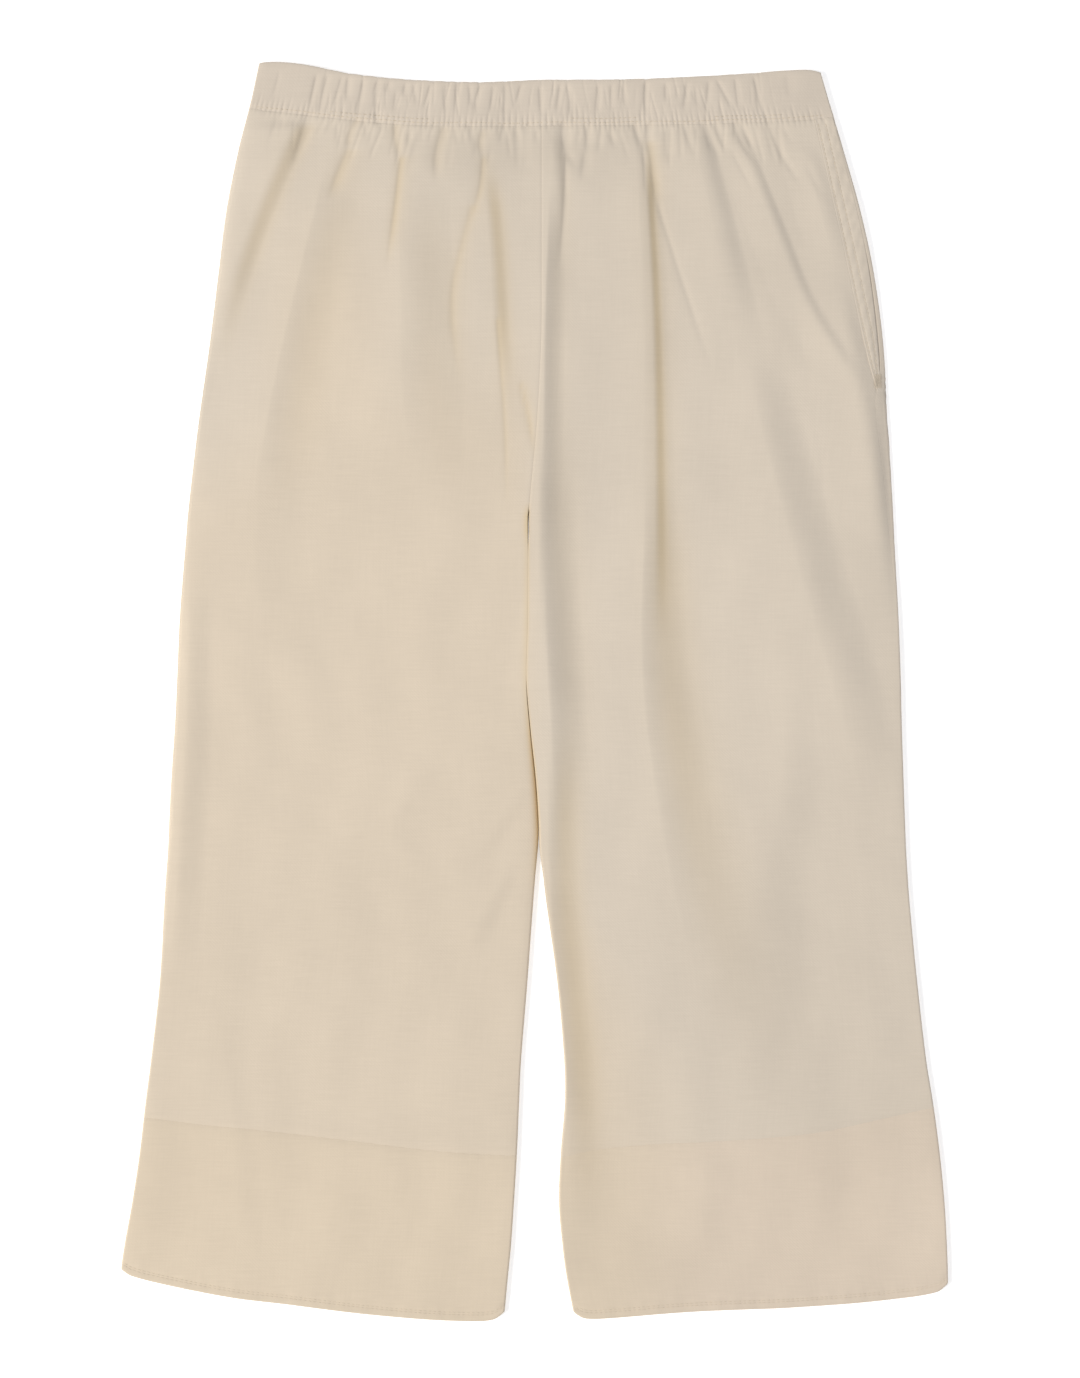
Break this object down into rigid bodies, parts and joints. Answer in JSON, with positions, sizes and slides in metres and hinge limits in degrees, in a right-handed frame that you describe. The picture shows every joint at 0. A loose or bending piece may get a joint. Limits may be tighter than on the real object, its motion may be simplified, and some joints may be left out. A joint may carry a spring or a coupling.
{
  "type": "capri pants",
  "caption": "Pull-on wide-leg capri pants in cream woven cotton, laid flat front up, with a gathered elastic waistband, deep hem bands and a topstitched side pocket",
  "frame": {"origin": "on the surface that the pants lie on, under the middle of their box", "axes": "+Y up the garment from hem to waist, +X towards the wearer's left, +Z out of the surface, through the back and then the front"},
  "size_m": [0.537, 0.8165, 0.0101],
  "materials": {
    "leg_cloth": "undyed cream cotton and linen plain weave with faint slubs, matt, washed",
    "hem_band_cloth": "the same cloth doubled, pressed, with stitching at its edge",
    "waistband_cloth": "the same cloth doubled over elastic and gathered"
  },
  "bodies": {
    "root": {"front_right": "leg_cloth", "front_left": "leg_cloth", "back_right": "leg_cloth", "back_left": "leg_cloth", "waistband_front": "waistband_cloth", "waistband_back": "waistband_cloth", "hem_band_front_right": "hem_band_cloth", "hem_band_back_right": "hem_band_cloth", "hem_band_front_left": "hem_band_cloth", "hem_band_back_left": "hem_band_cloth", "pocket_edge_left": "leg_cloth"}
  },
  "joints": []
}
